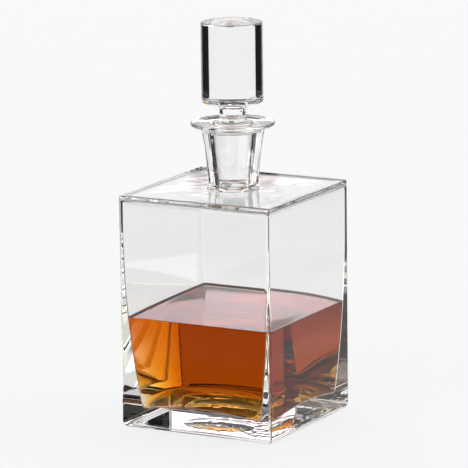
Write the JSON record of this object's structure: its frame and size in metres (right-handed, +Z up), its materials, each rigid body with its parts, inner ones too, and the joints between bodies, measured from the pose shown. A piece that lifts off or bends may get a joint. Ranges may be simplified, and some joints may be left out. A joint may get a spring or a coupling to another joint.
{
  "type": "glass decanter",
  "caption": "Square clear glass decanter with a flat shoulder, flared lip and solid round lift-out stopper, partly filled with whisky.",
  "frame": {"origin": "centre of the resting plane under the base", "axes": "+Z up through the neck and stopper; the four flat sides face along +X, -X, +Y and -Y"},
  "size_m": [0.095, 0.095, 0.2271],
  "materials": {
    "bottle_glass": "polished clear crystal glass",
    "stopper_glass": "polished clear crystal glass, plug finely ground",
    "whisky_liquid": "clear amber liquid"
  },
  "bodies": {
    "decanter": {"bottle": "bottle_glass", "whisky": "whisky_liquid"},
    "stopper": {"stopper": "stopper_glass"}
  },
  "joints": [
    {"name": "stopper_lift", "type": "slide", "parent": "decanter", "child": "stopper", "axis": [0, 0, 1], "range_m": [0, 0.05]}
  ]
}
